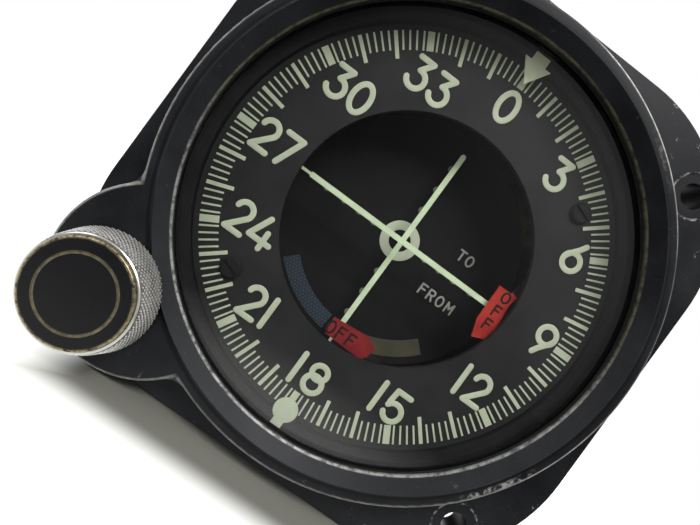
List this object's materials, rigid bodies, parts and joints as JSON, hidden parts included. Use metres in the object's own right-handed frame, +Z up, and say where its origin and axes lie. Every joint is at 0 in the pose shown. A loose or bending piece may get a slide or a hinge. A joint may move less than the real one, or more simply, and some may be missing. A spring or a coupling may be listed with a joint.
{
  "type": "course deviation indicator",
  "caption": "Round aircraft course deviation indicator with crossed needles, fixed azimuth dial, rotating course pointer and corner knob.",
  "frame": {"origin": "on the dial's axis, in the plane where the flange's back meets the panel", "axes": "+Z up, +X right, the dial faces -Y and the case runs along +Y"},
  "size_m": [0.0824, 0.1383, 0.0824],
  "materials": {
    "black_casting": "satin black enamel on a casting, worn bright on its edges",
    "black_sheet": "semi-matte black enamel",
    "clear_glass": "clear window glass",
    "gasket_rubber": "matte",
    "black_steel": "black oxide",
    "dial_black": "matte black with pale green ticks and numbers",
    "face_black": "matte black with a ring, dots and two coloured sectors",
    "word_window": "black film with clear words",
    "ring_black": "black anodised",
    "marker_paint": "pale green luminous paint",
    "needle_paint": "pale green paint on thin strip",
    "flag_red": "red paint",
    "vane_white": "white paint",
    "plain_aluminium": "machined",
    "brass": "machined",
    "steel": "bright",
    "screw_steel": "plated",
    "magnet_iron": "plain",
    "coil_copper": "enamelled copper wire",
    "resolver_steel": "passivated",
    "knob_chrome": "nickel plate, diamond knurl",
    "knob_black": "black cap with a worn brass edge",
    "connector_plate": "olive chromate",
    "connector_black": "moulded",
    "pin_gold": "gold plate"
  },
  "bodies": {
    "case": {"bezel_housing": "black_casting", "cover_glass": "clear_glass", "glass_gasket": "gasket_rubber", "glass_retaining_ring": "black_steel", "azimuth_dial": "dial_black", "dial_screws": "black_steel", "dial_posts": "brass", "face_plate": "face_black", "face_plate_spacers": "brass", "word_windows": "word_window", "front_plate": "plain_aluminium", "plate_screws": "steel", "pillars": "steel", "rear_plate": "plain_aluminium", "course_bearing_sleeve": "plain_aluminium", "sleeve_screws": "screw_steel", "meter_yokes": "magnet_iron", "meter_cores": "magnet_iron", "meter_bridges": "plain_aluminium", "meter_jewel_screws": "brass", "meter_brackets": "plain_aluminium", "meter_nuts": "brass", "flag_meters": "plain_aluminium", "resolver_body": "resolver_steel", "resolver_clamps": "plain_aluminium", "knob_bushing": "brass", "gear_cover": "black_casting", "gear_cover_screws": "screw_steel", "case_barrel": "black_sheet", "barrel_screws": "screw_steel", "rear_cover": "black_sheet", "rear_screws": "screw_steel", "cover_rods": "steel", "connector_shell": "connector_plate", "connector_insert": "connector_black", "connector_pins": "pin_gold"},
    "course_ring": {"course_ring_gear": "ring_black", "course_ring_clip": "steel", "course_arrow": "marker_paint", "reciprocal_marker": "marker_paint"},
    "knob": {"knob_skirt": "knob_chrome", "knob_cap": "knob_black", "knob_set_screws": "steel", "knob_shaft": "steel", "knob_pinion": "brass", "shaft_clip": "steel"},
    "idler": {"idler_gear": "brass", "idler_shaft": "steel"},
    "resolver_rotor": {"resolver_gear": "brass", "resolver_shaft": "steel"},
    "cdi_movement": {"cdi_coil": "coil_copper", "cdi_needle": "needle_paint"},
    "gs_movement": {"gs_coil": "coil_copper", "gs_needle": "needle_paint"},
    "nav_flag_rotor": {"nav_flag": "flag_red", "nav_flag_shaft": "steel"},
    "gs_flag_rotor": {"gs_flag": "flag_red", "gs_flag_shaft": "steel"},
    "to_from_rotor": {"to_from_vane": "vane_white", "to_from_shaft": "steel"}
  },
  "joints": [
    {"name": "course_ring_turn", "type": "hinge", "parent": "case", "child": "course_ring", "pos_m": [0, -0.003, 0], "axis": [0, 1, 0], "continuous": true},
    {"name": "knob_turn", "type": "hinge", "parent": "case", "child": "knob", "pos_m": [-0.03147, -0.012, -0.03147], "axis": [0, 1, 0], "continuous": true},
    {"name": "idler_turn", "type": "hinge", "parent": "case", "child": "idler", "pos_m": [-0.01591, 0.01, 0.01591], "axis": [0, 1, 0], "continuous": true},
    {"name": "resolver_turn", "type": "hinge", "parent": "case", "child": "resolver_rotor", "pos_m": [0, 0.063, 0], "axis": [0, 1, 0], "continuous": true},
    {"name": "cdi_needle_swing", "type": "hinge", "parent": "case", "child": "cdi_movement", "pos_m": [0, 0.0505, -0.0182], "axis": [0, 0, 1], "range_deg": [-18, 18], "stiffness_Nm_per_rad": 0.002},
    {"name": "gs_needle_swing", "type": "hinge", "parent": "case", "child": "gs_movement", "pos_m": [-0.0182, 0.0505, 0], "axis": [1, 0, 0], "range_deg": [-18, 18], "stiffness_Nm_per_rad": 0.002},
    {"name": "nav_flag_swing", "type": "hinge", "parent": "case", "child": "nav_flag_rotor", "pos_m": [0.0175, 0, -0.0205], "axis": [0, 1, 0], "range_deg": [-38, 0], "stiffness_Nm_per_rad": 0.002},
    {"name": "gs_flag_swing", "type": "hinge", "parent": "case", "child": "gs_flag_rotor", "pos_m": [0.0215, 0, 0.015], "axis": [0, 1, 0], "range_deg": [-38, 0], "stiffness_Nm_per_rad": 0.002},
    {"name": "to_from_swing", "type": "hinge", "parent": "case", "child": "to_from_rotor", "pos_m": [-0.002, 0.008, -0.0001], "axis": [0, 1, 0], "range_deg": [-19, 19], "stiffness_Nm_per_rad": 0.002}
  ],
  "couplings": [
    {"joint": "knob_turn", "follows": "course_ring_turn", "ratio": -6.4167},
    {"joint": "idler_turn", "follows": "course_ring_turn", "ratio": 4},
    {"joint": "resolver_turn", "follows": "course_ring_turn", "ratio": -1}
  ]
}
